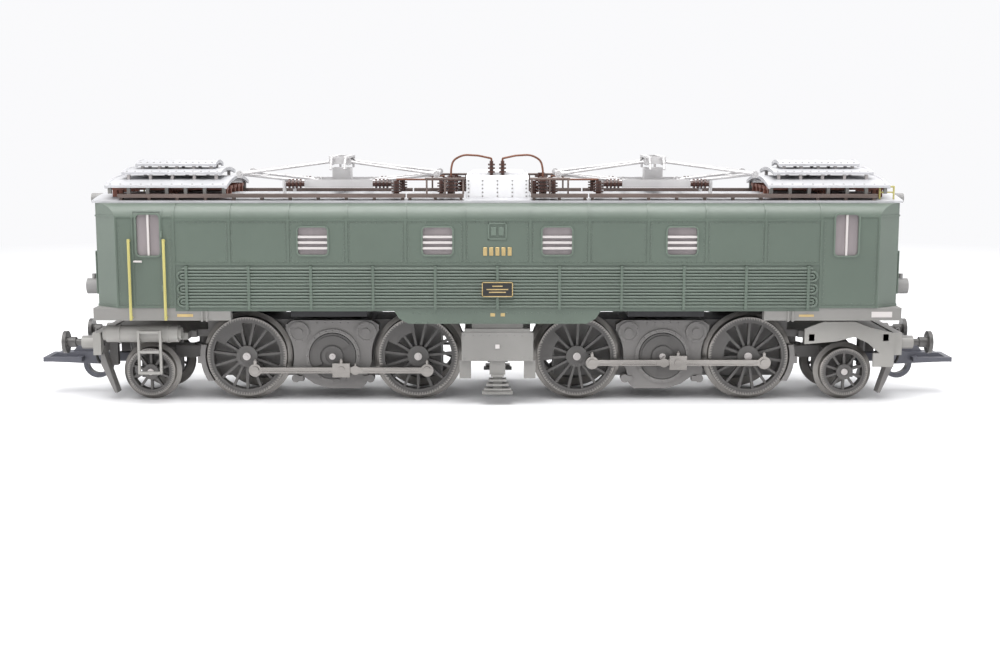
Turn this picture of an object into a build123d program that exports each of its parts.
from build123d import *
import math
import os

# H0 scale electric locomotive with side rods and two pantographs, in millimetres.
# +X runs along the track, +Z is up, Z = 0 is the lowest point of the wheel flanges, and the origin
# is under the middle of the body. Each bogie is drawn once for the +X end ("u" outward, "v" across)
# and turned half a turn for the other end.

# ---- wheels and track ----
BACK_TO_BACK = 14.4
WHEEL_WIDTH = 2.8
FLANGE = 1.0
FLANGE_WIDTH = 0.8
DRIVER_R = 8.8
CARRIER_R = 5.35
TYRE_T = 0.85
DRIVER_RIM_T = 0.6
CARRIER_RIM_T = 0.45
DRIVER_SPOKES = 15
CARRIER_SPOKES = 10
DRIVER_HUB_R = 2.35
CARRIER_HUB_R = 1.7
AXLE_R = 1.5
CARRIER_AXLE_R = 1.0
JACK_X = 36.2
DRIVER_PITCH = 18.8
CARRIER_X = 76.2

# ---- rods ----
CRANK_R = 3.5
CRANK_ANGLE = {"front": -20.0, "rear": -55.0}
QUARTERING = 90.0
PIN_R = 0.55
KNUCKLE_PIN_R = 0.4
ROD_Y = 10.75
ROD_T = 0.9
ROD_H = 1.3
ROD_EYE_R = 1.4
KNUCKLE = 3.1
BIG_END = (3.8, 3.1)

# ---- gears ----
MODULE = 0.3
GEAR_TEETH = 28
GEAR_T = 2.0
WORM_PITCH_R = 1.2
WORM_LENGTH = 6.0
IDLER_PIN_R = 0.8
TOWER_R = 5.5

# ---- bogie ----
BLOCK_HALF_WIDTH = 6.4
BLOCK_X = (12.5, 64.0)
BLOCK_Z = (5.0, 17.5)
CASE_HALF_WIDTH = 9.4
CASE_TOP = 17.7
CASE_BOTTOM = 2.6
JACK_DISC_R = 5.05
JACK_RING_R = 6.0
NOSE_Z = (13.7, 15.2)
BEAM_X = (86.1, 87.8)
BEAM_HALF_WIDTH = 13.0
BUFFER_Y = 10.06
BUFFER_Z = 13.0
BUFFER_FACE = 94.83
BUFFER_HEAD_R = 2.45
BUFFER_TRAVEL = 1.2
COUPLER_PIVOT = 82.0
COUPLER_Z = (6.7, 9.6)
BISSEL_PIVOT = 66.3
BISSEL_Z = (8.4, 11.4)
LADDER_X = (72.3, 77.0)

# ---- body ----
BODY_HALF_WIDTH = 17.0
SIDE_END = 81.0
FRONT_X = 86.1
FRONT_HALF_WIDTH = 13.0
CAB_SEAM = 68.7
WALL = 1.0
SILL_Z = 20.7
CAB_SILL_Z = 21.4
SHOULDER_Z = 40.1
SHOULDER_R = 3.5
RELIEF = 0.15
BELT_Z = 30.8
SEAMS = (7.0, 19.5, 32.0, 44.4, 56.9, 68.7)
WINDOW = (6.25, 5.8)
WINDOW_FRAME = 0.33
WINDOW_Z = 35.7
WINDOW_X = (12.7, 39.2)
CAB_WINDOW = (4.9, 8.7)
CAB_WINDOW_X = 74.05
CAB_WINDOW_Z = 36.95
FRONT_WINDOW = (5.4, 7.0)
FRONT_WINDOW_Y = 8.2
FRONT_WINDOW_Z = 37.0
DOOR_WINDOW = (3.6, 7.0)
DOOR_X = (71.0, 77.6)
FAIRING = (19.0, 22.0)
FAIRING_Z = 18.0
ROOF_RISE = 1.2
ROOF_EDGE_T = 0.5

# ---- cooling pipes ----
PIPE_R = 0.27
PIPE_COUNT = 13
PIPE_PITCH = 0.675
PIPE_Z = 21.75
PIPE_HALF_LENGTH = 67.0
CLIP_PITCH = 13.22
CLIP_SIDE = 5

# ---- frame under the body ----
SKIRT_END = 86.3
SKIRT_INNER = 14.6
SKIRT_Z = 18.7
SKIRT_START = 57.0
CHASSIS_Z = (19.3, 21.6, 25.0)
RAIL_WIDTH = 2.2
MOTOR_HALF = (11.0, 7.0, 5.0)
FLYWHEEL_R = 4.6

# ---- roof equipment ----
WALK_Y = (11.9, 14.1)
WALK_RISE = (1.1, 1.9)
WALK_SPANS = ((7.2, 19.3), (19.7, 81.0))
COVERS = ((57.7, 83.8, 13.6, 3.7, 1.6), (59.8, 81.4, 8.55, 6.3, 0.8), (61.7, 79.3, 4.5, 8.0, 0.7))
TIER_T = 0.5
HOOD_HALF = (6.7, 11.0)
HOOD_HEIGHT = 5.7
HOOD_POST_X = (-1.3, 1.1)
HOOD_POST_Y = -8.8
HOOD_POST_HEIGHT = 3.1
POST_Y = -9.6
BIG_POSTS = ((-10.0, 1.5, 5.6), (9.8, 1.5, 5.4))
SMALL_POSTS = ((-12.1, 0.9, 4.6), (-21.8, 1.1, 4.6), (7.9, 0.9, 4.6), (12.1, 0.9, 4.6), (21.8, 1.1, 4.6))
ROOF_POSTS = BIG_POSTS + SMALL_POSTS
PANTO_X = 34.45
PANTO_BASE_X = 6.1
PANTO_KNUCKLE_X = 21.3
PANTO_TOP_X = 1.8
PANTO_RISES = (4.1, 5.9, 8.4)
PANTO_BASE_Y = 6.0
PANTO_KNUCKLE_Y = 7.6
PANTO_TOP_Y = 4.2
PANTO_TUBE_R = 0.36

# ---- clearances ----
RUNNING = 0.05
GAP = 0.3
RAIL_GAP = 0.2

WHEEL_BACK = BACK_TO_BACK / 2
WHEEL_FACE = WHEEL_BACK + WHEEL_WIDTH
DRIVER_Z = FLANGE + DRIVER_R
CARRIER_Z = FLANGE + CARRIER_R
OUTER_X = JACK_X + DRIVER_PITCH
INNER_X = JACK_X - DRIVER_PITCH
GEAR_R = MODULE * GEAR_TEETH / 2
IDLER_Z = DRIVER_Z + 2 * GEAR_R
SHAFT_Z = IDLER_Z + GEAR_R + WORM_PITCH_R
BODY_TOP = SHOULDER_Z + SHOULDER_R
BEYOND_SIDE = BODY_HALF_WIDTH + 5
RAIL_Y = (BODY_HALF_WIDTH - WALL - RAIL_GAP - RAIL_WIDTH, BODY_HALF_WIDTH - WALL - RAIL_GAP)
ROOF_CREST = BODY_TOP + ROOF_EDGE_T + ROOF_RISE
WALK_Z = tuple(BODY_TOP + rise for rise in WALK_RISE)
TIERS = [(x0, x1, half, BODY_TOP + up, rise) for x0, x1, half, up, rise in COVERS]
HOOD_TOP = BODY_TOP + HOOD_HEIGHT
PANTO_BASE = (PANTO_BASE_X, BODY_TOP + PANTO_RISES[0])
PANTO_KNUCKLE = (PANTO_KNUCKLE_X, BODY_TOP + PANTO_RISES[1])
PANTO_TOP = (PANTO_TOP_X, BODY_TOP + PANTO_RISES[2])
ROOF_HALF_WIDTH = BODY_HALF_WIDTH - SHOULDER_R + GAP
ENDS = {"front": 1, "rear": -1}
SIDES = {"right": -1, "left": 1}


# ---- plain shapes ----
def box(x0, x1, y0, y1, z0, z1):
    place = Pos((x0 + x1) / 2, (y0 + y1) / 2, (z0 + z1) / 2)
    return place * Box(x1 - x0, y1 - y0, z1 - z0)


def tube(start, end, radius):
    start, end = Vector(*start), Vector(*end)
    ends = (Align.CENTER, Align.CENTER, Align.MIN)
    return Plane(origin=start, z_dir=end - start) * Cylinder(radius, (end - start).length, align=ends)


def across(radius, x, z, y0, y1):
    return tube((x, y0, z), (x, y1, z), radius)


def side_plate(points, y0, y1):
    """A plate with the given (x, z) outline, from y0 to y1."""
    outline = Polyline(*[(x, y0, z) for x, z in points], close=True)
    return extrude(make_face(outline), amount=y1 - y0, dir=(0, 1, 0))


def turned(shape):
    return Rot(0, 0, 180) * shape


def both_sides(shape):
    return [shape, mirror(shape, about=Plane.XZ)]


def four_corners(shape):
    return both_sides(shape) + both_sides(mirror(shape, about=Plane.YZ))


def at_end(end, shape):
    return shape if ENDS[end] > 0 else turned(shape)


def save(node, pieces):
    solids = []
    for piece in pieces:
        solids.extend(piece.solids())
    export_step(Compound(label=node, children=solids), f"parts/{node}.step")


# ---- wheels: drawn about the Z axis, outer face up, crank along +X ----
def ring(inner, outer, z0, z1):
    place = Pos(0, 0, (z0 + z1) / 2)
    return place * (Cylinder(outer, z1 - z0) - Cylinder(inner, z1 - z0))


def disc(radius, z0, z1):
    return Pos(0, 0, (z0 + z1) / 2) * Cylinder(radius, z1 - z0)


def tyre(tread_r):
    inner = tread_r - TYRE_T
    top = tread_r + FLANGE
    root = WHEEL_BACK + FLANGE_WIDTH
    outline = Polyline(
        (inner, 0, WHEEL_BACK),
        (top - 0.3, 0, WHEEL_BACK),
        (top, 0, WHEEL_BACK + 0.25),
        (top, 0, WHEEL_BACK + 0.5),
        (tread_r, 0, root),
        (tread_r, 0, WHEEL_FACE - 0.15),
        (tread_r - 0.15, 0, WHEEL_FACE),
        (inner, 0, WHEEL_FACE),
        close=True,
    )
    return revolve(make_face(outline), Axis.Z, 360)


def spoked_centre(rim_r, rim_t, hub_r, axle_r, count, spoke_w):
    spokes = []
    reach = rim_r - rim_t / 2
    for index in range(count):
        spoke = box(axle_r + 0.3, reach, -spoke_w / 2, spoke_w / 2, WHEEL_BACK + 1.2, WHEEL_FACE - 0.45)
        spokes.append(Rot(0, 0, (index + 0.5) * 360 / count) * spoke)
    rim = ring(rim_r - rim_t, rim_r, WHEEL_BACK + 0.4, WHEEL_FACE - 0.15)
    hub = ring(axle_r, hub_r, WHEEL_BACK + 0.3, WHEEL_FACE + 0.1)
    return rim + hub + spokes


def crank_web(crank_face):
    """The boss and web between the hub and the crank pin."""
    boss = Pos(CRANK_R, 0, 0) * disc(ROD_EYE_R, WHEEL_BACK + 1.2, crank_face)
    web = box(0, CRANK_R, -1.25, 1.25, WHEEL_BACK + 1.2, crank_face - 0.15)
    return boss + (web - disc(AXLE_R + 0.2, 0, 2 * WHEEL_FACE))


def crank_pin(crank_face):
    pin = disc(PIN_R, crank_face, ROD_Y + ROD_T + RUNNING)
    head = disc(PIN_R + 0.3, ROD_Y + ROD_T + RUNNING, ROD_Y + ROD_T + 0.3)
    return Pos(CRANK_R, 0, 0) * (pin + head)


def driver_wheel():
    rim_r = DRIVER_R - TYRE_T
    face = WHEEL_FACE + 0.35
    centre = spoked_centre(rim_r, DRIVER_RIM_T, DRIVER_HUB_R, AXLE_R, DRIVER_SPOKES, 0.55)
    inner_r = rim_r - DRIVER_RIM_T
    weight = ring(inner_r - 2.0, inner_r + 0.1, WHEEL_BACK + 1.0, WHEEL_FACE - 0.25)
    sector = Polyline((0, 0, 0), (-20, 10.5, 0), (-20, -10.5, 0), close=True)
    weight = weight & extrude(make_face(sector), amount=2 * WHEEL_FACE)
    return [centre + weight + crank_web(face) + crank_pin(face), tyre(DRIVER_R)]


def carrier_wheel():
    rim_r = CARRIER_R - TYRE_T
    centre = spoked_centre(rim_r, CARRIER_RIM_T, CARRIER_HUB_R, CARRIER_AXLE_R, CARRIER_SPOKES, 0.5)
    return [centre, tyre(CARRIER_R)]


def jackshaft_disc():
    back = WHEEL_BACK + 1.5
    face = WHEEL_FACE + 0.35
    plate = ring(AXLE_R, JACK_DISC_R, back, WHEEL_FACE - 0.2)
    weight = ring(AXLE_R + 1.2, JACK_DISC_R - 0.5, WHEEL_FACE - 0.2, WHEEL_FACE + 0.15)
    weight = weight & box(-20, 0, -20, 20, 0, 20)
    hub = ring(AXLE_R, AXLE_R + 0.8, WHEEL_FACE - 0.2, WHEEL_FACE + 0.2)
    return [plate + weight + hub + crank_web(face) + crank_pin(face)]


def on_side(shape, side, x, z, angle):
    """Stands a wheel at x on the near (-1) or far (+1) side, its crank at an angle above +X."""
    return Pos(x, 0, z) * Rot(-90 * side, 0, 0) * Rot(0, 0, -side * angle) * shape


def gear(x, z, bore_r, phase):
    """A spur gear about Y with a tooth, or a gap, pointing straight up."""
    pitch_angle = 2 * math.pi / GEAR_TEETH
    points = []
    for tooth in range(GEAR_TEETH):
        middle = math.pi / 2 + (tooth + phase) * pitch_angle
        for radius, part in (
            (GEAR_R - 1.25 * MODULE, -0.32),
            (GEAR_R + MODULE, -0.13),
            (GEAR_R + MODULE, 0.13),
            (GEAR_R - 1.25 * MODULE, 0.32),
        ):
            angle = middle + part * pitch_angle
            points.append((x + radius * math.cos(angle), z + radius * math.sin(angle)))
    return side_plate(points, -GEAR_T / 2, GEAR_T / 2) - across(bore_r, x, z, -GEAR_T, GEAR_T)


def wheelset(x, z, wheel, axle_r, near_angle, far_angle):
    pieces = []
    for solid in wheel:
        pieces.append(on_side(solid, -1, x, z, near_angle))
        pieces.append(on_side(solid, 1, x, z, far_angle))
    pieces.append(across(axle_r, x, z, -WHEEL_FACE, WHEEL_FACE))
    return pieces


# ---- coupling rods ----
def oil_cup(x, z, y):
    cup = tube((x, y, z - 0.4), (x, y, z + 0.7), 0.42)
    return cup + tube((x, y, z + 0.7), (x, y, z + 0.95), 0.2)


def rod_bar(x0, x1, z, y0, y1):
    """A bar with a long flute in its outer face."""
    flute = box(x0 + 1.6, x1 - 1.6, y0 - 1, y0 + 0.2, z - ROD_H / 4, z + ROD_H / 4)
    return box(x0, x1, y0, y1, z - ROD_H / 2, z + ROD_H / 2) - flute


def coupling_rods(end, side, angle):
    """The outer rod with the big end and knuckle, and the inner rod; both drawn on the near side."""
    sign = ENDS[end]
    dx = CRANK_R * math.cos(math.radians(angle))
    z = DRIVER_Z + CRANK_R * math.sin(math.radians(angle))
    outer_x = sign * OUTER_X + dx
    jack_x = sign * JACK_X + dx
    inner_x = sign * INNER_X + dx
    knuckle_x = jack_x - sign * KNUCKLE
    y0, y1 = -ROD_Y - ROD_T, -ROD_Y
    middle_y = (y0 + y1) / 2
    bore = PIN_R + RUNNING

    x0, x1 = sorted((jack_x, outer_x))
    outer = rod_bar(x0, x1, z, y0, y1) + across(ROD_EYE_R, outer_x, z, y0, y1)
    outer += box(jack_x - BIG_END[0] / 2, jack_x + BIG_END[0] / 2, y0, y1, z - BIG_END[1] / 2, z + BIG_END[1] / 2)
    tongue = middle_y + RUNNING
    x0, x1 = sorted((jack_x, knuckle_x))
    outer += box(x0, x1, tongue, y1, z - ROD_H / 2, z + ROD_H / 2)
    outer += across(1.0, knuckle_x, z, tongue, y1)
    outer += oil_cup(outer_x, z + ROD_EYE_R, middle_y)
    outer += oil_cup(jack_x, z + BIG_END[1] / 2, middle_y)
    outer -= across(bore, outer_x, z, y0 - 1, y1 + 1)
    outer -= across(bore, jack_x, z, y0 - 1, y1 + 1)
    outer -= across(KNUCKLE_PIN_R + RUNNING, knuckle_x, z, y0 - 1, y1 + 1)

    x0, x1 = sorted((knuckle_x, inner_x))
    inner = rod_bar(x0, x1, z, y0, y1) + across(ROD_EYE_R, inner_x, z, y0, y1)
    inner += oil_cup(inner_x, z + ROD_EYE_R, middle_y)
    inner -= across(1.0 + 0.1, knuckle_x, z, middle_y - RUNNING, y1 + 1)
    x0, x1 = sorted((jack_x, knuckle_x))
    inner -= box(x0, x1, middle_y - RUNNING, y1 + 1, z - ROD_H, z + ROD_H)
    inner += across(1.0, knuckle_x, z, y0, middle_y - RUNNING)
    inner += across(KNUCKLE_PIN_R, knuckle_x, z, middle_y - RUNNING, y1)
    inner += tube((knuckle_x, y0 / 2 + middle_y / 2, z + 0.8), (knuckle_x, y0 / 2 + middle_y / 2, z + 1.5), 0.2)
    inner -= across(bore, inner_x, z, y0 - 1, y1 + 1)

    if side == "left":
        return [mirror(outer, about=Plane.XZ), mirror(inner, about=Plane.XZ)]
    return [outer, inner]


# ---- bogie, drawn for the front end ----
def gear_case():
    """The casting between the driving wheels, with the ring around each jackshaft disc."""
    low = CASE_BOTTOM
    outline = [
        (JACK_X - 10.2, CASE_TOP - 1.0),
        (JACK_X - 8.6, CASE_TOP),
        (JACK_X + 8.6, CASE_TOP),
        (JACK_X + 10.2, CASE_TOP - 1.0),
        (JACK_X + 10.2, 13.0),
        (JACK_X + 8.8, 5.6),
        (JACK_X + 7.0, 5.6),
        (JACK_X + 4.2, low + 1.0),
        (JACK_X + 1.2, low),
        (JACK_X - 6.2, low),
        (JACK_X - 7.2, low + 1.0),
        (JACK_X - 7.8, 6.5),
        (JACK_X - 10.2, 13.0),
    ]
    case = side_plate(outline, -CASE_HALF_WIDTH, CASE_HALF_WIDTH)
    room = DRIVER_R + FLANGE + 0.5
    for x in (INNER_X, OUTER_X):
        case -= across(room, x, DRIVER_Z, -20, 20)
    for side in SIDES.values():
        outer = side * 20
        case -= across(JACK_DISC_R + 0.15, JACK_X, DRIVER_Z, side * (WHEEL_BACK + 1.0), outer)
        face = side * CASE_HALF_WIDTH
        proud = side * (CASE_HALF_WIDTH + 0.35)
        collar = across(JACK_RING_R, JACK_X, DRIVER_Z, face, proud)
        case += collar - across(JACK_DISC_R + 0.15, JACK_X, DRIVER_Z, face - side, outer)
        for step in (-7.4, 7.4):
            lid = across(2.3, JACK_X + step, CASE_TOP - 2.6, face, proud)
            case += lid - across(1.7, JACK_X + step, CASE_TOP - 2.6, proud - side * 0.15, outer)
            case += across(0.9, JACK_X + step, CASE_TOP - 2.6, face, proud + side * 0.1)
        for step in (-8.2, 8.2):
            x0, x1 = sorted((JACK_X + step * 0.8, JACK_X + step))
            y0, y1 = sorted((face - side * 2, proud))
            case += box(x0, x1, y0, y1, 4.2, 5.4)
            case += across(0.9, JACK_X + step, 4.8, face - side * 2, proud)
    return case


def brake_shoe(wheel_x, direction):
    """A curved block that faces the tread, with the hanger behind it."""
    inner = DRIVER_R + 0.35
    outer = inner + 1.1
    y0, y1 = WHEEL_BACK + FLANGE_WIDTH + 0.2, WHEEL_FACE - 0.2
    block = across(outer, wheel_x, DRIVER_Z, y0, y1) - across(inner, wheel_x, DRIVER_Z, 0, 20)
    near, far = sorted((wheel_x + direction * (inner - 2), wheel_x + direction * (inner + 3)))
    block = block & box(near, far, y0, y1, DRIVER_Z - 5.5, DRIVER_Z + 2.5)
    near, far = sorted((wheel_x + direction * (outer - 0.15), wheel_x + direction * (outer + 0.6)))
    return block + box(near, far, BLOCK_HALF_WIDTH - 2.0, y1, DRIVER_Z - 1.6, DRIVER_Z)


def ladder():
    pieces = []
    v0, v1 = 15.2, 15.8
    for u in LADDER_X:
        pieces.append(box(u, u + 0.5, v0, v1, 6.8, 16.3))
    for z in (6.8, 11.4, 15.7):
        pieces.append(box(72.8, 77.0, v0 - 0.5, v1 + 0.2, z, z + 0.5))
    return pieces[0].fuse(*pieces[1:])


def tank():
    body = tube((69.0, 13.0, 15.3), (84.6, 13.0, 15.3), 1.87)
    ends = [tube((68.4, 13.0, 15.3), (69.0, 13.0, 15.3), 1.4), tube((84.6, 13.0, 15.3), (85.3, 13.0, 15.3), 1.4)]
    bands = [tube((u, 13.0, 15.3), (u + 0.5, 13.0, 15.3), 2.0) for u in (71.0, 81.5)]
    return body + ends + bands


def end_frame():
    """The curved plate over the carrying wheel on the side without a ladder."""
    top = [(66.6, 16.4), (70.6, 17.9), (77.4, 17.9), (80.8, 16.6), (86.1, 15.4)]
    bottom = [(86.1, 10.6), (83.2, 10.8), (80.4, 13.2), (77.4, 14.6), (73.4, 13.6), (66.6, 13.0)]
    outline = Polyline(*[(x, -13.3, z) for x, z in top + bottom], close=True)
    plate = extrude(make_face(outline), amount=0.7, dir=(0, 1, 0))
    upright = plate.edges().filter_by(Axis.Y)
    waves = [edge for edge in upright if 68 < edge.center().X < 82]
    return fillet(waves, 1.2) + box(81.6, 86.1, -13.3, -12.6, 8.0, 11.0)


def bogie_frame():
    block = box(*BLOCK_X, -BLOCK_HALF_WIDTH, BLOCK_HALF_WIDTH, *BLOCK_Z) + gear_case()
    block += box(60, BEAM_X[0], -BLOCK_HALF_WIDTH, BLOCK_HALF_WIDTH, *NOSE_Z)
    block += box(BISSEL_PIVOT, BEAM_X[0], -8.0, 8.0, *NOSE_Z)
    tower_top = SHAFT_Z + WORM_PITCH_R + MODULE + 1.4
    block += tube((JACK_X, 0, CASE_TOP - 1), (JACK_X, 0, tower_top), TOWER_R)
    tip = GEAR_R + MODULE + 0.3
    half = GEAR_T / 2 + 0.4
    cavity_top = SHAFT_Z + WORM_PITCH_R + MODULE + 0.3
    block -= box(JACK_X - tip, JACK_X + tip, -half, half, DRIVER_Z - tip, cavity_top)
    worm_room = WORM_PITCH_R + MODULE + 0.2
    room = box(JACK_X - tip, JACK_X + tip, -worm_room, worm_room, SHAFT_Z - worm_room, cavity_top)
    block -= room
    block -= tube((JACK_X - 8, 0, SHAFT_Z), (JACK_X + 8, 0, SHAFT_Z), IDLER_PIN_R + RUNNING)
    for x in (INNER_X, JACK_X, OUTER_X):
        block -= across(AXLE_R + RUNNING, x, DRIVER_Z, -20, 20)
    block -= across(IDLER_PIN_R + RUNNING, JACK_X, IDLER_Z, -3.5, 3.5)
    beam = box(*BEAM_X, -BEAM_HALF_WIDTH, BEAM_HALF_WIDTH, BUFFER_Z - 2.45, BUFFER_Z + 2.45)
    block += beam
    for v in (-BUFFER_Y, BUFFER_Y):
        block += tube((BEAM_X[1], v, BUFFER_Z), (90.8, v, BUFFER_Z), 1.45)
        block -= tube((BEAM_X[0] - 1, v, BUFFER_Z), (99, v, BUFFER_Z), 0.75 + RUNNING)
    block += tube((BISSEL_PIVOT, 0, BISSEL_Z[0] - 0.4), (BISSEL_PIVOT, 0, NOSE_Z[0]), 1.1)
    block += tube((COUPLER_PIVOT, 0, COUPLER_Z[0] - 0.4), (COUPLER_PIVOT, 0, NOSE_Z[0]), 0.8)
    for side in SIDES.values():
        v0, v1 = sorted((side * 4.4, side * 6.2))
        block += box(84.3, 86.1, v0, v1, 7.2, BUFFER_Z)
        v0, v1 = sorted((side * 7.0, side * 10.2))
        guard = side_plate([(83.6, 1.7), (84.2, 1.7), (87.0, 8.0), (87.0, 10.6), (86.3, 10.6)], v0, v1)
        block += guard
    for u in (67.5, 83.6):
        block += box(u, u + 1.2, 7.5, 11.2, *NOSE_Z)
        block += box(u, u + 1.2, -12.6, -7.5, *NOSE_Z)
        block += box(u, u + 1.2, -13.3, -12.5, *NOSE_Z)
    steps = []
    for u in LADDER_X:
        steps.append(box(u, u + 0.5, 8.0, 15.2, NOSE_Z[0], NOSE_Z[0] + 0.5) - tank())
    shoes = both_sides(brake_shoe(OUTER_X, 1))
    return [block, end_frame(), tank(), ladder()] + steps + shoes


def buffer(side):
    v = side * BUFFER_Y
    shank = tube((88.2, v, BUFFER_Z), (BUFFER_FACE - 0.6, v, BUFFER_Z), 0.75)
    neck = tube((92.2, v, BUFFER_Z), (BUFFER_FACE - 0.6, v, BUFFER_Z), 1.15)
    head = tube((BUFFER_FACE - 0.8, v, BUFFER_Z), (BUFFER_FACE, v, BUFFER_Z), BUFFER_HEAD_R)
    return [shank + neck + head]


def coupler():
    z0, z1 = COUPLER_Z
    shank = box(COUPLER_PIVOT, 90.0, -1.3, 1.3, z0 + 0.6, z1 - 0.4)
    eye = tube((COUPLER_PIVOT, 0, z0 + 0.6), (COUPLER_PIVOT, 0, z1 - 0.4), 1.6)
    head = side_plate([(88.5, z0), (100.0, z0 + 0.5), (100.6, z0 + 1.5), (99.0, z1 - 0.3), (88.5, z1)], -1.9, 1.9)
    loop = box(93.0, 101.6, -4.2, 4.2, z0 + 0.9, z0 + 1.9) - box(94.2, 100.4, -3.2, 3.2, 0, 20)
    hook = side_plate([(90.0, z1 - 0.2), (96.0, z1 - 0.4), (94.6, z1 + 1.4), (93.2, z1 + 1.5), (92.0, z1 + 0.8)], -0.8, 0.8)
    hoop = across(3.3, 90.3, z0, -0.9, 0.9) - across(2.3, 90.3, z0, -2, 2)
    hoop = hoop & box(80, 100, -2, 2, 0, z0 + 0.4)
    body = shank + eye + head + loop + hook + hoop
    return [body - tube((COUPLER_PIVOT, 0, 0), (COUPLER_PIVOT, 0, 20), 0.8 + RUNNING)]


def bissel_frame():
    z0, z1 = BISSEL_Z
    arm = box(BISSEL_PIVOT, 73.0, -2.4, 2.4, z0, z1 - 0.4)
    eye = tube((BISSEL_PIVOT, 0, z0), (BISSEL_PIVOT, 0, z1), 2.2)
    cradle = box(72.2, 79.2, -5.6, 5.6, 4.4, z1 - 0.4)
    frame = arm + eye + cradle
    frame -= tube((BISSEL_PIVOT, 0, 0), (BISSEL_PIVOT, 0, 20), 1.1 + RUNNING)
    return [frame - across(CARRIER_AXLE_R + RUNNING, CARRIER_X, CARRIER_Z, -20, 20)]


def worm():
    pitch = math.pi * MODULE
    root = WORM_PITCH_R - 1.25 * MODULE
    height = WORM_PITCH_R + MODULE - root
    turns = 5
    helix = Pos(0, 0, -turns * pitch / 2) * Helix(pitch=pitch, height=turns * pitch, radius=root)
    start = helix @ 0
    section = Plane(origin=start, x_dir=(start.X, start.Y, 0), z_dir=helix % 0)
    outline = Polyline((-0.05, -0.25), (height, -0.1), (height, 0.1), (-0.05, 0.25), close=True)
    thread = sweep(section * make_face(outline), path=helix, is_frenet=True)
    core = Cylinder(root, WORM_LENGTH) + thread
    # The thread lies in the idler's gap straight above the idler's axis.
    body = Pos(JACK_X, 0, SHAFT_Z) * Rot(0, 90, 0) * Rot(0, 0, 180 * turns) * core
    shaft = tube((30.3, 0, SHAFT_Z), (JACK_X - WORM_LENGTH / 2, 0, SHAFT_Z), 0.55)
    shaft += tube((JACK_X + WORM_LENGTH / 2, 0, SHAFT_Z), (41.6, 0, SHAFT_Z), 0.55)
    collar = tube((30.6, 0, SHAFT_Z), (32.4, 0, SHAFT_Z), IDLER_PIN_R)
    tail = tube((40.4, 0, SHAFT_Z), (41.6, 0, SHAFT_Z), IDLER_PIN_R)
    return [body + shaft + collar + tail]


def idler_gear():
    pin = across(IDLER_PIN_R, JACK_X, IDLER_Z, -3.2, 3.2)
    return [gear(JACK_X, IDLER_Z, IDLER_PIN_R, 0.5), pin]


def make_bogie(end):
    sign = ENDS[end]
    near = CRANK_ANGLE[end]
    far = near + QUARTERING
    driver = driver_wheel()
    jack = wheelset(sign * JACK_X, DRIVER_Z, jackshaft_disc(), AXLE_R, near, far)
    jack.append(gear(sign * JACK_X, DRIVER_Z, AXLE_R, 0.0))
    save(f"{end}_jackshaft", jack)
    for name, x in (("outer_driver", OUTER_X), ("inner_driver", INNER_X)):
        save(f"{end}_{name}", wheelset(sign * x, DRIVER_Z, driver, AXLE_R, near, far))
    carrier = wheelset(sign * CARRIER_X, CARRIER_Z, carrier_wheel(), CARRIER_AXLE_R, 0, 0)
    save(f"{end}_carrier_wheelset", carrier)
    for side, angle in (("right", near), ("left", far)):
        outer, inner = coupling_rods(end, side, angle)
        save(f"{end}_outer_rod_{side}", [outer])
        save(f"{end}_inner_rod_{side}", [inner])
    fixed = {
        "bogie_frame": bogie_frame(),
        "coupler": coupler(),
        "bissel_frame": bissel_frame(),
        "worm": worm(),
        "idler_gear": idler_gear(),
        "buffer_left": buffer(sign),
        "buffer_right": buffer(-sign),
    }
    for name, pieces in fixed.items():
        save(f"{end}_{name}", [at_end(end, piece) for piece in pieces])


# ---- body ----
def body_plan(inset, z0, z1):
    tip = FRONT_X - inset
    side = BODY_HALF_WIDTH - inset
    front = FRONT_HALF_WIDTH - inset * 0.6
    bend = SIDE_END - inset * 0.4
    corners = [(bend, side), (tip, front), (tip, -front), (bend, -side)]
    corners += [(-x, -y) for x, y in corners]
    outline = Polyline(*[(x, y, z0) for x, y in corners], close=True)
    return extrude(make_face(outline), amount=z1 - z0, dir=(0, 0, 1))


def body_section(inset, z0):
    """The shell's outline across the body, rounded at the shoulders, along the whole length."""
    side = BODY_HALF_WIDTH - inset
    top = BODY_TOP - inset
    flat = BODY_HALF_WIDTH - SHOULDER_R
    bend = (SHOULDER_R - inset) * math.sqrt(0.5)
    x = -100
    left = ThreePointArc((x, -side, SHOULDER_Z), (x, -flat - bend, SHOULDER_Z + bend), (x, -flat, top))
    right = ThreePointArc((x, flat, top), (x, flat + bend, SHOULDER_Z + bend), (x, side, SHOULDER_Z))
    lines = [
        Line((x, -side, z0), (x, -side, SHOULDER_Z)),
        left,
        Line((x, -flat, top), (x, flat, top)),
        right,
        Line((x, side, SHOULDER_Z), (x, side, z0)),
        Line((x, side, z0), (x, -side, z0)),
    ]
    return extrude(make_face(Wire(lines)), amount=200, dir=(1, 0, 0))


def side_opening(x, z, width, height, radius):
    """A rounded window opening through both side walls."""
    flat = extrude(RectangleRounded(width, height, radius), amount=BODY_HALF_WIDTH + 5, both=True)
    return Pos(x, 0, z) * Rot(90, 0, 0) * flat


def front_opening(y, z, width, height, radius):
    flat = extrude(RectangleRounded(height, width, radius), amount=5, both=True)
    return Pos(FRONT_X, y, z) * Rot(0, 90, 0) * flat


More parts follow.
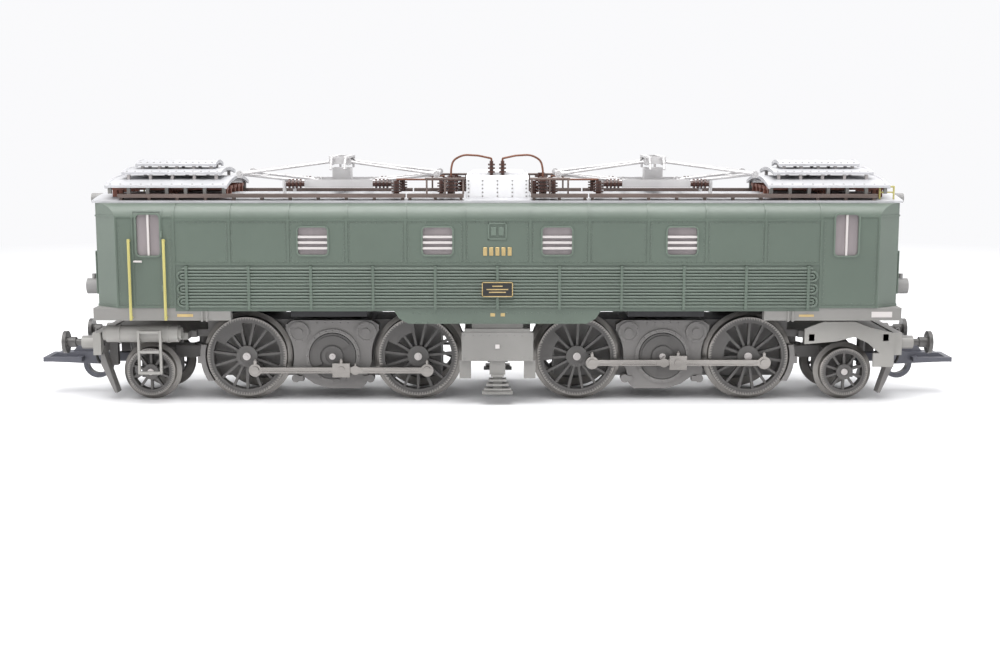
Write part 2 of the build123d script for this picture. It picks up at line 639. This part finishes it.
def window_openings(grow):
    """(opening, centre x, z) for every side window, with grow added to each edge."""
    openings = []
    for x in WINDOW_X:
        for sign in (-1, 1):
            size = (WINDOW[0] + 2 * grow, WINDOW[1] + 2 * grow)
            openings.append(side_opening(sign * x, WINDOW_Z, *size, 0.7 + grow))
    for sign in (-1, 1):
        x = sign * CAB_WINDOW_X
        size = (CAB_WINDOW[0] + 2 * grow, CAB_WINDOW[1] + 2 * grow)
        openings.append(side_opening(x, CAB_WINDOW_Z, *size, 0.8 + grow))
    return openings


def front_openings(grow):
    openings = []
    for y, size in ((-FRONT_WINDOW_Y, FRONT_WINDOW), (0, DOOR_WINDOW), (FRONT_WINDOW_Y, FRONT_WINDOW)):
        hole = front_opening(y, FRONT_WINDOW_Z, size[0] + 2 * grow, size[1] + 2 * grow, 0.7 + grow)
        openings += [hole, turned(hole)]
    return openings


def relief_zones():
    """Where the body's outer skin stands proud: seam strips, belts and door edges."""
    zones = []
    wide = BEYOND_SIDE
    for x in SEAMS:
        for sign in (-1, 1):
            low = CAB_SILL_Z if x == CAB_SEAM else BELT_Z
            zones.append(box(sign * x - 0.25, sign * x + 0.25, -wide, wide, low, BODY_TOP + 1))
    for z in (BELT_Z, SHOULDER_Z):
        zones.append(box(-CAB_SEAM, CAB_SEAM, -wide, wide, z - 0.2, z + 0.2))
    for sign in (-1, 1):
        x0, x1 = sorted((sign * CAB_SEAM, sign * 90))
        zones.append(box(x0, x1, -wide, wide, SHOULDER_Z + 0.6, SHOULDER_Z + 0.95))
        zones.append(box(x0, x1, -wide, wide, CAB_SILL_Z, CAB_SILL_Z + 0.5))
        corner = box(sign * SIDE_END - 0.3, sign * SIDE_END + 0.3, -wide, wide, CAB_SILL_Z, SHOULDER_Z + 0.6)
        zones.append(corner)
    door_top = BODY_TOP - 1.3
    door = box(*DOOR_X, 10, wide, CAB_SILL_Z, door_top)
    door -= box(DOOR_X[0] + 0.4, DOOR_X[1] - 0.4, 10, wide, CAB_SILL_Z + 0.4, door_top - 0.4)
    zones += [door, turned(door)]
    end_door = box(80, 90, -3.2, 3.2, CAB_SILL_Z, door_top - 0.3)
    end_door -= box(80, 90, -2.8, 2.8, CAB_SILL_Z + 0.4, door_top - 0.7)
    zones += [end_door, turned(end_door)]
    return zones


def fairing():
    """The deeper skirt between the bogies."""
    low, high = FAIRING
    outline = [(-high, SILL_Z + 0.5), (high, SILL_Z + 0.5)]
    outline += [(high, SILL_Z), (high - 1.0, SILL_Z - 1.6), (low, FAIRING_Z)]
    outline += [(-x, z) for x, z in reversed(outline[2:])]
    return side_plate(outline, -BODY_HALF_WIDTH, -BODY_HALF_WIDTH + 0.8)


def body_shell():
    outer = body_section(0, SILL_Z) & body_plan(0, SILL_Z, BODY_TOP + 1)
    skin = body_section(-RELIEF, SILL_Z) & body_plan(-RELIEF, SILL_Z, BODY_TOP)
    zones = relief_zones()
    proud = (skin & zones[0].fuse(*zones[1:])) - window_openings(WINDOW_FRAME)
    shell = outer + proud
    hollow = body_section(WALL, SILL_Z - 5) & body_plan(WALL, SILL_Z - 5, BODY_TOP)
    flat = BODY_HALF_WIDTH - SHOULDER_R
    hatch = box(-FRONT_X + WALL, FRONT_X - WALL, -flat + WALL, flat - WALL, BODY_TOP - 3, BODY_TOP + 3)
    shell -= hollow + hatch
    for sign in (-1, 1):
        x0, x1 = sorted((sign * CAB_SEAM, sign * 100))
        shell -= box(x0, x1, -BEYOND_SIDE, BEYOND_SIDE, SILL_Z - 1, CAB_SILL_Z)
    shell -= window_openings(0) + front_openings(0)
    shell += both_sides(fairing())
    return [shell]


def window_parts():
    """Frames, panes and guard bars for the side and front windows."""
    frames, panes, guards = [], [], []
    y0, y1 = BODY_HALF_WIDTH, BODY_HALF_WIDTH + 0.25
    for small, big in zip(window_openings(0), window_openings(WINDOW_FRAME)):
        rim = big - small
        pane_zone = box(-90, 90, y0 - WALL, y0 - WALL + 0.45, 30, 44)
        frames += [piece & box(-90, 90, y0, y1, 30, 44) for piece in (rim,)]
        panes.append(small & pane_zone)
    frames += [mirror(piece, about=Plane.XZ) for piece in frames]
    panes += [mirror(piece, about=Plane.XZ) for piece in panes]
    for hole in front_openings(0)[::2]:
        x1 = FRONT_X - WALL
        pane = hole & box(x1, x1 + 0.45, -20, 20, 30, 44)
        panes += [pane, turned(pane)]
    for x in WINDOW_X:
        for sign in (-1, 1):
            for z in (34.2, 35.4, 36.6):
                half = WINDOW[0] / 2
                bar = box(sign * x - half, sign * x + half, y0 - 0.3, y0 + 0.1, z - 0.25, z + 0.25)
                guards += both_sides(bar)
    for sign in (-1, 1):
        low = CAB_WINDOW_Z - CAB_WINDOW[1] / 2
        x = sign * CAB_WINDOW_X
        bar = box(x - 0.22, x + 0.22, y0 - 0.5, y0, low, low + CAB_WINDOW[1])
        guards += both_sides(bar)
    return frames, panes, guards


def roof_section(x0, x1, half, edge_z, rise, thickness):
    """An arched plate along X: its edge, its rise at the middle and its thickness."""
    under = edge_z - thickness
    lines = [
        ThreePointArc((x0, -half, edge_z), (x0, 0, edge_z + rise), (x0, half, edge_z)),
        Line((x0, half, edge_z), (x0, half, under)),
        ThreePointArc((x0, half, under), (x0, 0, under + rise), (x0, -half, under)),
        Line((x0, -half, under), (x0, -half, edge_z)),
    ]
    return extrude(make_face(Wire(lines)), amount=x1 - x0, dir=(1, 0, 0))


def roof_plate():
    reach = FRONT_X + 0.5
    edge = BODY_TOP + ROOF_EDGE_T
    half = ROOF_HALF_WIDTH
    lines = [
        ThreePointArc((-reach, -half, edge), (-reach, 0, edge + ROOF_RISE), (-reach, half, edge)),
        Line((-reach, half, edge), (-reach, half, BODY_TOP)),
        Line((-reach, half, BODY_TOP), (-reach, -half, BODY_TOP)),
        Line((-reach, -half, BODY_TOP), (-reach, -half, edge)),
    ]
    return extrude(make_face(Wire(lines)), amount=2 * reach, dir=(1, 0, 0))


def cooling_pipes():
    """Straight tubes, nested return bends at both ends, and the clips that hold them to the side."""
    y = -BODY_HALF_WIDTH - PIPE_R
    pieces = []
    heights = [PIPE_Z + index * PIPE_PITCH for index in range(PIPE_COUNT)]
    for z in heights:
        pieces.append(tube((-PIPE_HALF_LENGTH, y, z), (PIPE_HALF_LENGTH, y, z), PIPE_R))
    for group in range(3):
        middle = heights[4 * group + 1] + PIPE_PITCH / 2
        for reach in (PIPE_PITCH / 2, PIPE_PITCH * 3 / 2):
            circle = Plane(origin=(PIPE_HALF_LENGTH, y, middle - reach), z_dir=(1, 0, 0)) * Circle(PIPE_R)
            centre = Axis((PIPE_HALF_LENGTH, y, middle), (0, 1, 0))
            bend = revolve(circle, centre, -180)
            pieces += [bend, mirror(bend, about=Plane.YZ)]
    low, high = heights[0] - 0.6, heights[-1] + 0.6
    comb = box(-0.3, 0.3, y - 0.5, y + 0.1, low, high)
    comb -= [tube((-1, y, z), (1, y, z), PIPE_R) for z in heights]
    for index in range(-CLIP_SIDE, CLIP_SIDE + 1):
        pieces.append(Pos(index * CLIP_PITCH, 0, 0) * comb)
    return pieces + [mirror(piece, about=Plane.XZ) for piece in pieces]


def cab_handrails():
    pieces = []
    y = -BODY_HALF_WIDTH - 1.1
    for x in (-78.0, -70.6):
        rail = tube((x, y, 18.9), (x, y, 36.2), 0.3)
        for z in (19.4, 35.8):
            rail += tube((x, y, z), (x, -BODY_HALF_WIDTH - (RELIEF if z > 30 else 0), z), 0.22)
        pieces.append(rail)
    return pieces + [turned(piece) for piece in pieces]


def underframe():
    pieces = []
    floor = box(66.2, SKIRT_END, -SKIRT_INNER, SKIRT_INNER, 20.2, CAB_SILL_Z)
    floor += box(SKIRT_END - 1.5, SKIRT_END, -BODY_HALF_WIDTH, BODY_HALF_WIDTH, SKIRT_Z, CAB_SILL_Z)
    for side in (-1, 1):
        y0, y1 = sorted((side * SKIRT_INNER, side * BODY_HALF_WIDTH))
        floor += box(CAB_SEAM, SKIRT_END, y0, y1, SKIRT_Z, CAB_SILL_Z)
        floor += box(SKIRT_START, CAB_SEAM, y0, y1, SKIRT_Z, SILL_Z)
        post = sorted((side * (BODY_HALF_WIDTH - 1), side * (BODY_HALF_WIDTH + 0.3)))
        floor += box(61.9, 62.3, *post, SKIRT_Z - 0.2, SILL_Z)
        floor += box(62.9, 63.3, *post, SKIRT_Z - 0.2, SILL_Z)
    pieces += [floor, turned(floor)]
    return pieces


def main_chassis():
    """The metal inner frame: side rails, bogie rings, motor cradle and the weights over the drivers."""
    low, deck, top = CHASSIS_Z
    rail0, rail1 = RAIL_Y
    frame = box(-66, 66, -rail1, -rail0, deck - 0.4, top)
    frame += box(-66, 66, rail0, rail1, deck - 0.4, top)
    for end in (-1, 1):
        x0, x1 = sorted((end * (JACK_X - 8.2), end * (JACK_X + 8.2)))
        frame += box(x0, x1, -rail1 + 0.6, rail1 - 0.6, low, deck - 0.2)
        frame -= tube((end * JACK_X, 0, low - 1), (end * JACK_X, 0, top), TOWER_R + 0.12)
        x0, x1 = sorted((end * 46.0, end * 66.0))
        frame += box(x0, x1, -rail0, rail0, deck + 0.6, 33.0)
        x0, x1 = sorted((end * 64.0, end * 68.0))
        frame += box(x0, x1, -rail1, rail1, deck, top)
    for side in (-1, 1):
        y0, y1 = sorted((side * (MOTOR_HALF[1] + 0.05), side * 9.0))
        frame += box(-10.5, 10.5, y0, y1, deck, 28.5)
        y0, y1 = sorted((side * 8.5, side * rail0))
        frame += box(-10.5, 10.5, y0, y1, deck, deck + 2.0)
    return [frame]


def motor():
    half_x, half_y, half_z = MOTOR_HALF
    can = box(-half_x, half_x, -half_y, half_y, SHAFT_Z - half_z, SHAFT_Z + half_z)
    room_x, room_y, room_z = half_x - 1.0, half_y - 1.0, half_z - 0.8
    can -= box(-room_x, room_x, -room_y, room_y, SHAFT_Z - room_z, SHAFT_Z + room_z)
    can -= tube((-20, 0, SHAFT_Z), (20, 0, SHAFT_Z), 1.0 + RUNNING)
    return [can]


def drive_shaft():
    """Rotor, both flywheels and both cardan shafts, which all turn together."""
    rotor = tube((-8.5, 0, SHAFT_Z), (8.5, 0, SHAFT_Z), 4.0)
    rotor -= [
        Pos(0, 0, SHAFT_Z) * Rot(angle, 0, 0) * box(-9, 9, -0.4, 0.4, 2.2, 5) for angle in range(0, 360, 72)
    ]
    cup_end = JACK_X - TOWER_R - 0.1
    shaft = tube((-cup_end + 5.6, 0, SHAFT_Z), (cup_end - 5.6, 0, SHAFT_Z), 1.0)
    line = rotor + shaft
    for sign in (-1, 1):
        line += tube((sign * 12.0, 0, SHAFT_Z), (sign * 19.0, 0, SHAFT_Z), FLYWHEEL_R)
        cup = tube((sign * (cup_end - 6.1), 0, SHAFT_Z), (sign * cup_end, 0, SHAFT_Z), 1.9)
        line += cup - tube((sign * (cup_end - 3.6), 0, SHAFT_Z), (sign * (cup_end + 1), 0, SHAFT_Z), 1.45)
    return [line]


def headlamps():
    pieces = []
    for y in (-8.5, 8.5):
        lamp = tube((FRONT_X, y, 25.2), (89.6, y, 25.2), 1.7)
        lamp -= tube((89.1, y, 25.2), (90, y, 25.2), 1.35)
        knob = tube((88.2, y, 26.7), (88.2, y, 27.9), 0.45)
        pieces += [lamp + knob]
    top_z = BODY_TOP + 0.3
    top = tube((FRONT_X + ROOF_EDGE_T, 0, top_z), (90.3, 0, top_z), 1.1)
    top -= tube((89.9, 0, top_z), (91, 0, top_z), 0.85)
    pieces.append(top)
    return pieces + [turned(piece) for piece in pieces]


def lamp_lenses():
    pieces = []
    for y in (-8.5, 8.5):
        pieces.append(tube((89.1, y, 25.2), (89.4, y, 25.2), 1.35))
    pieces.append(tube((89.9, 0, BODY_TOP + 0.3), (90.15, 0, BODY_TOP + 0.3), 0.85))
    return pieces + [turned(piece) for piece in pieces]


def centre_box():
    """The equipment box between the bogies on each side, with the finned receiver under it."""
    side = -BODY_HALF_WIDTH
    case = box(-7.7, 7.7, side + 0.6, side + 2.7, 9.8, 16.0)
    case += box(-7.1, 7.1, side + 0.8, side + 2.7, 16.0, 16.8)
    case += box(-5.5, 5.5, side + 1.2, side + 2.4, 16.8, CHASSIS_Z[1] - 0.4)
    case += box(-0.4, 0.4, side + 0.45, side + 0.7, 12.6, 13.4)
    for sign in (-1, 1):
        x0, x1 = sorted((sign * 5.7, sign * 8.2))
        case += box(x0, x1, side + 1.4, side + 2.6, 5.9, 9.8)
    neck = box(-1.7, 1.7, side + 1.0, side + 2.6, 6.8, 9.8)
    fins = []
    for tier in range(4):
        reach = 1.4 + 0.5 * tier
        fins.append(box(-reach, reach, side + 0.4, side + 3.0, 6.4 - tier, 6.8 - tier))
    core = box(-1.0, 1.0, side + 1.0, side + 2.4, 2.9, 6.8)
    foot = box(-3.3, 3.3, side + 0.7, side + 2.7, 2.5, 3.2)
    case += neck + fins + core + foot
    return [case, turned(case)]


# ---- roof equipment ----
def roof_walkways(roof):
    pieces = []
    for start, stop in WALK_SPANS:
        y0, y1 = WALK_Y
        middle = (y0 + y1) / 2
        for a, b in ((y0, middle - 0.08), (middle + 0.08, y1)):
            plank = box(start, stop, a, b, *WALK_Z)
            pieces += four_corners(plank)
        count = max(2, round((stop - start) / 6.2))
        for index in range(count + 1):
            x = start + 0.6 + index * (stop - start - 1.2) / count
            foot = box(x - 0.3, x + 0.3, y0 + 0.3, ROOF_HALF_WIDTH - 0.2, BODY_TOP + 0.3, WALK_Z[0])
            pieces += four_corners(foot - roof)
    return pieces


def cover(tier, grow=0.0):
    """One arched cover with a raised lip at both ends."""
    x0, x1, half, edge_z, rise = tier
    lip = roof_section(x0, x0 + 0.5, half, edge_z, rise + 0.1, TIER_T + 0.2 + grow)
    plate = roof_section(x0, x1, half, edge_z, rise, TIER_T + grow)
    return plate + lip + Pos(x1 - x0 - 0.5, 0, 0) * lip


def resistor_covers():
    pieces = [cover(tier) for tier in TIERS]
    return pieces + [turned(piece) for piece in pieces]


def resistor_frames(roof):
    """Posts that carry the three covers, and the resistor grids between them."""
    x0, x1, half, edge_z, rise = TIERS[0]
    pieces = []
    for index in range(7):
        x = x0 + 0.85 + index * (x1 - x0 - 1.7) / 6
        post = box(x - 0.35, x + 0.35, 12.0, 12.9, WALK_Z[1], edge_z - TIER_T + 0.2)
        pieces += both_sides(middle_solid(post - cover(TIERS[0])))
    for y in (-9.2, -4.6, 0.0, 4.6, 9.2):
        for x in (x0 + 1.2, (x0 + x1) / 2, x1 - 1.2):
            leg = box(x - 0.5, x + 0.5, y - 0.6, y + 0.6, BODY_TOP, BODY_TOP + 2.6)
            pieces.append(leg - roof)
        pieces.append(box(x0 + 0.6, x1 - 0.6, y - 1.5, y + 1.5, BODY_TOP + 2.6, BODY_TOP + 3.3))
    for below, above in zip(TIERS[:-1], TIERS[1:]):
        span = above[1] - above[0] - 2.6
        for index in range(5):
            x = above[0] + 1.3 + index * span / 4
            inner = above[2] - 1.6
            post = box(x - 0.3, x + 0.3, inner, inner + 0.8, below[3] - 0.3, above[3] + 0.5)
            pieces += both_sides(middle_solid(post - cover(below) - cover(above)))
    return pieces + [turned(piece) for piece in pieces]


def middle_solid(shape):
    """The largest of the solids that a cut has left."""
    return max(shape.solids(), key=lambda solid: solid.volume)


def transformer_hood(roof):
    hood = box(-HOOD_HALF[0], HOOD_HALF[0], -HOOD_HALF[1], HOOD_HALF[1], BODY_TOP, HOOD_TOP)
    hood = chamfer(hood.edges().filter_by(Axis.X).group_by(Axis.Z)[-1], 0.8)
    cap = box(-HOOD_HALF[0] + 1.0, HOOD_HALF[0] - 1.0, -8.0, 8.0, HOOD_TOP, HOOD_TOP + 0.6)
    return [hood + cap - roof]


def ribbed_post(x, y, z0, z1, radius, ribs):
    """A standing insulator: a core with round ribs."""
    post = tube((x, y, z0), (x, y, z1), radius * 0.55)
    pitch = (z1 - z0) / (ribs + 1)
    for index in range(ribs):
        z = z0 + pitch * (index + 0.7)
        post += tube((x, y, z), (x, y, z + pitch * 0.5), radius)
    return post


def ribbed_bar(x0, x1, y, z, radius, ribs):
    """A lying insulator along X."""
    bar = tube((x0, y, z), (x1, y, z), radius * 0.55)
    pitch = (x1 - x0) / (ribs + 1)
    for index in range(ribs):
        x = x0 + pitch * (index + 0.7)
        bar += tube((x, y, z), (x + pitch * 0.5, y, z), radius)
    return bar


def standing_insulator(x, radius, rise, roof):
    """An insulator whose core stands on the arched roof, with all its ribs above the crest."""
    post = ribbed_post(x, POST_Y, ROOF_CREST, BODY_TOP + rise, radius, 4)
    core = tube((x, POST_Y, BODY_TOP + 0.4), (x, POST_Y, ROOF_CREST + 0.1), radius * 0.55)
    return post + (core - roof)


def roof_insulators(roof):
    pieces = []
    for x, radius, rise in ROOF_POSTS:
        post = standing_insulator(x, radius, rise, roof)
        pieces += [post, turned(post)]
    for x in HOOD_POST_X:
        pieces.append(ribbed_post(x, HOOD_POST_Y, HOOD_TOP, HOOD_TOP + HOOD_POST_HEIGHT, 0.75, 3))
    return pieces


def bent_wire(points, radius):
    """A stiff wire: straight runs with rounded corners."""
    corners = [Vector(*point) for point in points]
    runs = [(b - a).length for a, b in zip(corners[:-1], corners[1:])]
    bends = [0.45 * min(a, b) for a, b in zip(runs[:-1], runs[1:])]
    turns = []
    for a, b, c in zip(corners[:-2], corners[1:-1], corners[2:]):
        turns.append((b - a).get_angle(c - b))
    radii = [bend / math.tan(math.radians(turn) / 2) for bend, turn in zip(bends, turns)]
    path = FilletPolyline(*points, radius=[min(r, 4.0) for r in radii])
    section = Plane(origin=path @ 0, z_dir=path % 0) * Circle(radius)
    return sweep(section, path=path)


def roof_conductors(roof):
    y = HOOD_POST_Y
    start = HOOD_TOP + HOOD_POST_HEIGHT
    pieces = []
    for first_x, (post_x, radius, rise) in zip(HOOD_POST_X, BIG_POSTS):
        out = math.copysign(1, post_x)
        stop = BODY_TOP + rise
        route = [(first_x, y, start), (first_x, y, start + 0.5), (first_x + out * 2.8, y, start + 1.1)]
        route += [(post_x - out * 2.6, y, start + 1.3), (post_x - out * 0.4, y, start + 0.1)]
        route += [(post_x, POST_Y, stop + 1.4), (post_x, POST_Y, stop)]
        pieces.append(bent_wire(route, 0.22))
    rail_z = BODY_TOP + 5.1
    for sign in (-1, 1):
        x0, x1 = sorted((sign * 6.9, sign * 15.5))
        rail = tube((x0, -13.0, rail_z), (x1, -13.0, rail_z), 0.25)
        for x in (x0 + 0.4, (x0 + x1) / 2, x1 - 0.4):
            rail += tube((x, -13.0, WALK_Z[1]), (x, -13.0, rail_z), 0.2)
        pieces += [rail, turned(rail)]
        x0, x1 = sorted((sign * 12.1, sign * 21.8))
        bus = tube((x0, POST_Y, BODY_TOP + 4.8), (x1, POST_Y, BODY_TOP + 4.8), 0.2)
        pieces += [bus, turned(bus)]
    return pieces


# ---- pantographs, drawn about x = 0 with the first arm pair on the +X side ----
def pantograph_base(roof, centre):
    bx, bz = PANTO_BASE
    y = PANTO_BASE_Y + 1.4
    pieces = []
    frame = None
    for side in (-1, 1):
        y0, y1 = sorted((side * y, side * (y + 0.8)))
        rail = box(-7.4, 7.4, y0, y1, bz - 1.1, bz + 0.6)
        frame = rail if frame is None else frame + rail
    for x in (-bx, bx):
        frame += across(PANTO_TUBE_R, x, bz, -y - 0.1, y + 0.1)
    frame += box(-0.6, 0.6, -y, y, bz - 1.0, bz - 0.4)
    frame += box(-2.0, 2.0, -2.2, 2.2, bz - 1.0, bz + 3.0)
    pieces.append(frame)
    for sign in (-1, 1):
        for side in (-1, 1):
            x0, x1 = sorted((sign * 7.4, sign * 11.4))
            foot_x = sign * 11.8
            line_y = side * (y + 0.4)
            pieces.append(ribbed_bar(x0, x1, line_y, bz - 0.3, 1.1, 4))
            foot = tube((foot_x, line_y, BODY_TOP - 0.6), (foot_x, line_y, bz + 0.4), 0.4)
            pieces.append(foot - roof)
    return [Pos(centre, 0, 0) * piece for piece in pieces]


def lower_arm():
    bx, bz = PANTO_BASE
    kx, kz = PANTO_KNUCKLE
    arm = None
    for side in (-1, 1):
        y_base = side * PANTO_BASE_Y
        y_knee = side * PANTO_KNUCKLE_Y
        bar = tube((bx + 0.5, y_base, bz + 0.06), (kx, y_knee, kz), PANTO_TUBE_R)
        bar += across(0.75, bx, bz, y_base - 0.5, y_base + 0.5)
        arm = bar if arm is None else arm + bar
    arm += across(PANTO_TUBE_R, kx, kz, -PANTO_KNUCKLE_Y - 1.4, PANTO_KNUCKLE_Y + 1.4)
    arm += tube((kx - 4.2, -PANTO_KNUCKLE_Y + 0.4, kz - 0.5), (kx - 4.2, PANTO_KNUCKLE_Y - 0.4, kz - 0.5), 0.25)
    return arm - across(PANTO_TUBE_R + RUNNING, bx, bz, -20, 20)


def upper_arm(top_clearance):
    kx, kz = PANTO_KNUCKLE
    tx, tz = PANTO_TOP
    arm = None
    knee_y = PANTO_KNUCKLE_Y + 0.9
    for side in (-1, 1):
        bar = tube((kx - 0.6, side * knee_y, kz + 0.1), (tx + 0.5, side * PANTO_TOP_Y, tz), 0.3)
        bar += across(0.75, kx, kz, side * knee_y - 0.4, side * knee_y + 0.4)
        bar += across(0.72, tx, tz, side * PANTO_TOP_Y - 0.45, side * PANTO_TOP_Y + 0.45)
        arm = bar if arm is None else arm + bar
    taper = knee_y - PANTO_TOP_Y
    start, stop = [(kx + (tx - kx) * share, knee_y - taper * share, kz + (tz - kz) * share) for share in (0.35, 0.75)]
    for side in (-1, 1):
        arm += tube((start[0], side * start[1], start[2]), (stop[0], -side * stop[1], stop[2]), 0.2)
    arm -= across(PANTO_TUBE_R + RUNNING, kx, kz, -20, 20)
    return arm - across(PANTO_TUBE_R + top_clearance, tx, tz, -20, 20)


def pantograph_head():
    tx, tz = PANTO_TOP
    head = None
    for sign in (-1, 1):
        pin = across(PANTO_TUBE_R, sign * tx, tz, -PANTO_TOP_Y - 0.8, PANTO_TOP_Y + 0.8)
        head = pin if head is None else head + pin
    for side in (-1, 1):
        y0, y1 = sorted((side * (PANTO_TOP_Y + 0.55), side * (PANTO_TOP_Y + 1.15)))
        head += box(-tx - 0.5, tx + 0.5, y0, y1, tz - 0.4, tz + 1.0)
    for sign in (-1, 1):
        x0, x1 = sorted((sign * 0.9, sign * 2.1))
        head += box(x0, x1, -7.6, 7.6, tz + 0.85, tz + 1.3)
        for side in (-1, 1):
            middle = (x0 + x1) / 2
            horn = tube((middle, side * 7.4, tz + 1.05), (middle, side * 9.0, tz - 0.3), 0.28)
            head += horn + tube((middle, side * 9.0, tz - 0.3), (middle, side * 9.6, tz - 1.5), 0.28)
    for side in (-1, 1):
        y0, y1 = sorted((side * 7.0, side * 7.5))
        head += box(-1.2, 1.2, y0, y1, tz + 0.85, tz + 1.25)
    return head


def make_pantograph(end):
    centre = ENDS[end] * PANTO_X
    low = lower_arm()
    high = upper_arm(RUNNING)
    high_loose = upper_arm(0.2)
    parts = {
        "outer_lower_arm": low if ENDS[end] > 0 else turned(low),
        "inner_lower_arm": turned(low) if ENDS[end] > 0 else low,
        "outer_upper_arm": high if ENDS[end] > 0 else turned(high),
        "inner_upper_arm": turned(high_loose) if ENDS[end] > 0 else high_loose,
        "pantograph_head": pantograph_head(),
    }
    for name, shape in parts.items():
        save(f"{end}_{name}", [Pos(centre, 0, 0) * shape])


def main():
    os.makedirs("parts", exist_ok=True)
    roof = roof_plate()
    frames, panes, guards = window_parts()
    save("main_chassis", main_chassis())
    save("underframe", underframe())
    save("body_shell", body_shell())
    save("roof_plate", [roof])
    save("cooling_pipes", cooling_pipes())
    save("window_frames", frames)
    save("window_glass", panes + lamp_lenses())
    save("window_guards", guards)
    save("cab_handrails", cab_handrails())
    save("headlamps", headlamps())
    save("centre_boxes", centre_box())
    save("motor", motor())
    save("drive_shaft", drive_shaft())
    save("roof_walkways", roof_walkways(roof))
    save("resistor_covers", resistor_covers())
    save("resistor_frames", resistor_frames(roof))
    save("transformer_hood", transformer_hood(roof))
    save("roof_insulators", roof_insulators(roof))
    save("roof_conductors", roof_conductors(roof))
    bases = []
    for end in ENDS:
        bases += pantograph_base(roof, ENDS[end] * PANTO_X)
        make_pantograph(end)
        make_bogie(end)
    save("pantograph_bases", bases)


main()
